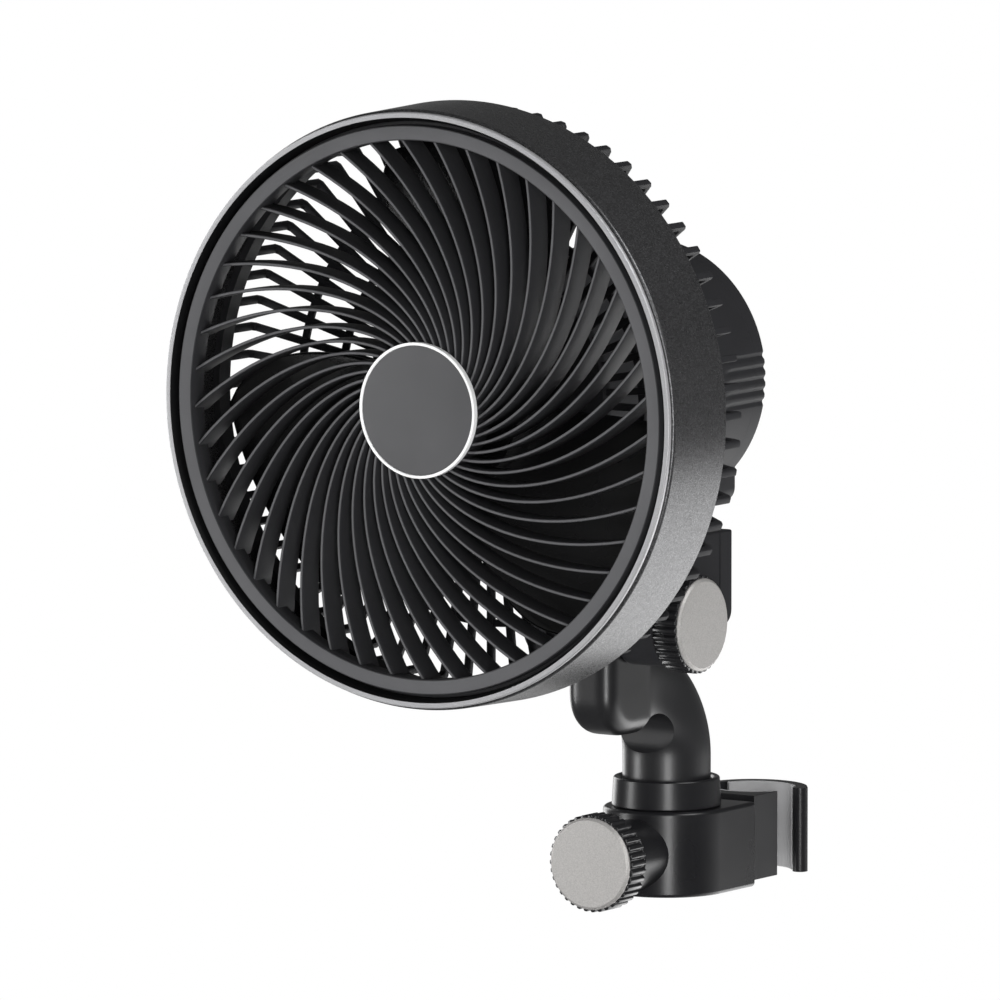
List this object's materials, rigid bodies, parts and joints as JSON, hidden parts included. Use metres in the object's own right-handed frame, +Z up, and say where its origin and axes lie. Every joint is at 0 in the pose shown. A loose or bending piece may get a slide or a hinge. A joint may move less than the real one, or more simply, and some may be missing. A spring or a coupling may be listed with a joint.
{
  "type": "clip fan",
  "caption": "Round caged desk fan with spiral front fins, a tilting yoke, a swivelling S-shaped arm and a screw clamp that grips a pole.",
  "frame": {"origin": "on the pole clamp's axis at mid-height of its jaws", "axes": "+Z up along the clamped pole, the fan faces -Y, +X to the right of someone who faces the fan"},
  "size_m": [0.2, 0.2315, 0.2795],
  "materials": {
    "satin_black": "satin black moulded nylon",
    "shell_black": "matte black moulded ABS",
    "band_black": "fine sparkle-textured gunmetal paint",
    "lip_silver": "satin",
    "satin_silver": "fine blasted satin",
    "grille_grey": "matte dark grey",
    "badge_grey": "matte dark grey, left bare",
    "badge_white": "bright white ring",
    "blade_black": "satin black",
    "pad_grey": "matte grey",
    "steel": "bright zinc-plated",
    "aluminium": "turned",
    "brass": "turned",
    "copper": "enamelled copper wire",
    "magnet_black": "coated ferrite",
    "cell_wrap": "shrink sleeve",
    "board_green": "solder mask",
    "button_grey": "satin grey"
  },
  "bodies": {
    "clamp_base": {"base_block": "satin_black", "hook": "satin_black", "hook_pad": "pad_grey", "hook_screws": "steel", "thread_insert": "brass", "swivel_collar": "satin_black", "swivel_washer": "steel"},
    "jaw": {"press_jaw": "satin_black", "jaw_pad": "pad_grey", "guide_rods": "steel"},
    "clamp_knob": {"clamp_screw": "steel", "clamp_knob": "satin_black", "clamp_knob_cap": "satin_silver"},
    "arm": {"arm": "satin_black", "tilt_washers": "steel"},
    "head": {"yoke": "shell_black", "yoke_screws": "steel", "tilt_bolt": "steel", "band": "band_black", "bezel": "lip_silver", "front_grille": "grille_grey", "badge_plate": "badge_grey", "badge_ring": "badge_white", "rear_grille": "shell_black", "grille_screws": "steel", "bearing_tube": "aluminium", "bearings": "steel", "stator_core": "steel", "windings": "copper", "motor_housing": "shell_black", "rear_cap": "shell_black", "cap_screws": "steel", "battery_cells": "cell_wrap", "battery_cradle": "shell_black", "control_board": "board_green", "charge_socket": "steel", "switch_board": "board_green"},
    "tilt_knob": {"tilt_knob": "satin_black", "tilt_knob_cap": "satin_silver", "tilt_knob_insert": "brass"},
    "rotor": {"motor_shaft": "steel", "rotor_can": "steel", "magnets": "magnet_black", "impeller": "blade_black", "impeller_nut": "steel"},
    "power_button": {"power_button": "button_grey"}
  },
  "joints": [
    {"name": "jaw_slide", "type": "slide", "parent": "clamp_base", "child": "jaw", "axis": [0, 1, 0], "range_m": [-0.011, 0.005]},
    {"name": "clamp_knob_turn", "type": "hinge", "parent": "jaw", "child": "clamp_knob", "pos_m": [0, -0.1, 0], "axis": [0, 1, 0], "range_deg": [-1981, 901]},
    {"name": "arm_swivel", "type": "hinge", "parent": "clamp_base", "child": "arm", "pos_m": [0, -0.056, 0.0145], "axis": [0, 0, 1], "range_deg": [-175, 175]},
    {"name": "head_tilt", "type": "hinge", "parent": "arm", "child": "head", "pos_m": [0, -0.092, 0.082], "axis": [1, 0, 0], "range_deg": [-45, 40]},
    {"name": "tilt_knob_turn", "type": "hinge", "parent": "head", "child": "tilt_knob", "pos_m": [0.03, -0.092, 0.082], "axis": [1, 0, 0], "range_deg": [-270, 0]},
    {"name": "fan_spin", "type": "hinge", "parent": "head", "child": "rotor", "pos_m": [0, -0.18, 0.163], "axis": [0, -1, 0], "continuous": true},
    {"name": "button_press", "type": "slide", "parent": "head", "child": "power_button", "axis": [0, -1, 0], "range_m": [0, 0.0012], "stiffness_N_per_m": 800}
  ],
  "couplings": [
    {"joint": "clamp_knob_turn", "follows": "jaw_slide", "rad_per_m": 3141.6}
  ]
}
